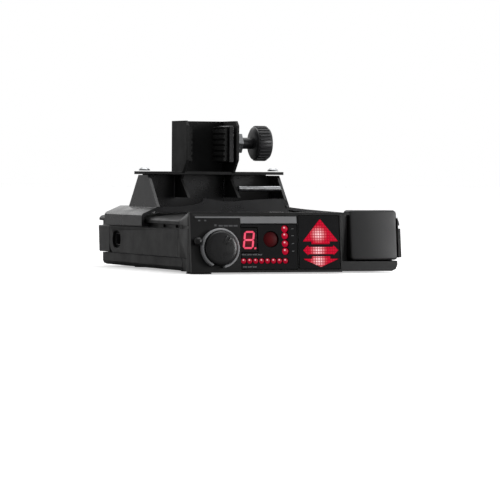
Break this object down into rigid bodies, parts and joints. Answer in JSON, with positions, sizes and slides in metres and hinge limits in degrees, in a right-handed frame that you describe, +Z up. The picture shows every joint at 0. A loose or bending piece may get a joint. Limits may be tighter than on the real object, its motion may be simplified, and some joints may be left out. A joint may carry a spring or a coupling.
{
  "type": "radar detector",
  "caption": "Low black in-car radar detector with a knob, warning lights and arrow display, gripped by a bent steel mirror bracket with a stem clamp.",
  "frame": {"origin": "middle of the whole object's footprint, on the surface it stands on", "axes": "+X to the driver's right, +Y from the display towards the windshield, +Z up"},
  "size_m": [0.0944, 0.1208, 0.0606],
  "materials": {
    "casting": "fine satin black paint on a thin cast light-alloy case",
    "bezel": "smooth satin black moulding",
    "cover": "fine matt black moulding that radar passes through",
    "window": "smoked gloss black window",
    "dark_lens": "dark red filter",
    "red_lens": "lit red lens",
    "trim": "pale grey blank name plate",
    "knob": "satin black knob",
    "inner_plastic": "black nylon",
    "board": "green circuit board",
    "steel": "plated steel",
    "bracket_coat": "satin black powder coat on bent sheet steel",
    "rubber": "black rubber"
  },
  "bodies": {
    "case": {"upper_case": "casting", "lower_case": "casting", "rear_frame": "casting", "display_bezel": "bezel", "rear_radome": "cover", "front_radome": "cover", "front_foot": "rubber", "laser_lens": "dark_lens", "display_window": "window", "arrow_window": "window", "front_arrow_lens": "red_lens", "side_arrow_lens": "red_lens", "rear_arrow_lens": "red_lens", "digit_display": "dark_lens", "photocell": "dark_lens", "band_light_1": "red_lens", "band_light_2": "red_lens", "band_light_3": "red_lens", "band_light_4": "red_lens", "strength_lights": "red_lens", "name_plate": "trim", "volume_control": "inner_plastic", "display_board": "board", "main_board": "board", "speaker": "inner_plastic", "rear_horn": "steel", "front_horn": "steel", "power_jack": "inner_plastic", "earphone_jack": "inner_plastic", "case_screw_1": "steel", "case_screw_2": "steel", "case_screw_3": "steel", "case_screw_4": "steel"},
    "plunger": {"push_plunger": "inner_plastic"},
    "knob": {"control_knob": "knob", "knob_shaft": "steel"},
    "lever": {"lever_ring": "knob"},
    "bracket": {"bracket_cradle": "bracket_coat", "bracket_bridge": "bracket_coat", "cross_rod": "steel", "clip_liner_left": "rubber", "clip_liner_right": "rubber", "channel_pad": "rubber", "screw_nut": "steel", "bridge_screw_1": "steel", "bridge_screw_2": "steel"},
    "jaw": {"clamp_jaw": "bracket_coat", "jaw_pad": "rubber"},
    "screw": {"thumb_screw": "inner_plastic"}
  },
  "joints": [
    {"name": "knob_push", "type": "slide", "parent": "case", "child": "plunger", "axis": [0, 0.9942, -0.108], "range_m": [0, 0.0006], "stiffness_N_per_m": 1500, "springref_m": -0.0006},
    {"name": "knob_turn", "type": "hinge", "parent": "plunger", "child": "knob", "pos_m": [-0.03465, -0.05584, 0.00995], "axis": [0, 0.9942, -0.108], "range_deg": [-168, 102]},
    {"name": "lever_turn", "type": "hinge", "parent": "case", "child": "lever", "pos_m": [-0.03465, -0.05584, 0.00995], "axis": [0, 0.9942, -0.108], "range_deg": [-35, 140]},
    {"name": "bracket_slide", "type": "slide", "parent": "case", "child": "bracket", "axis": [0, 1, 0], "range_m": [0, 0.06]},
    {"name": "jaw_slide", "type": "slide", "parent": "bracket", "child": "jaw", "axis": [-1, 0, 0], "range_m": [0, 0.0048]},
    {"name": "screw_turn", "type": "hinge", "parent": "jaw", "child": "screw", "pos_m": [0, 0.01415, 0.0516], "axis": [-1, 0, 0], "range_deg": [0, 2160]}
  ],
  "couplings": [
    {"joint": "screw_turn", "follows": "jaw_slide", "rad_per_m": 7853.9}
  ]
}
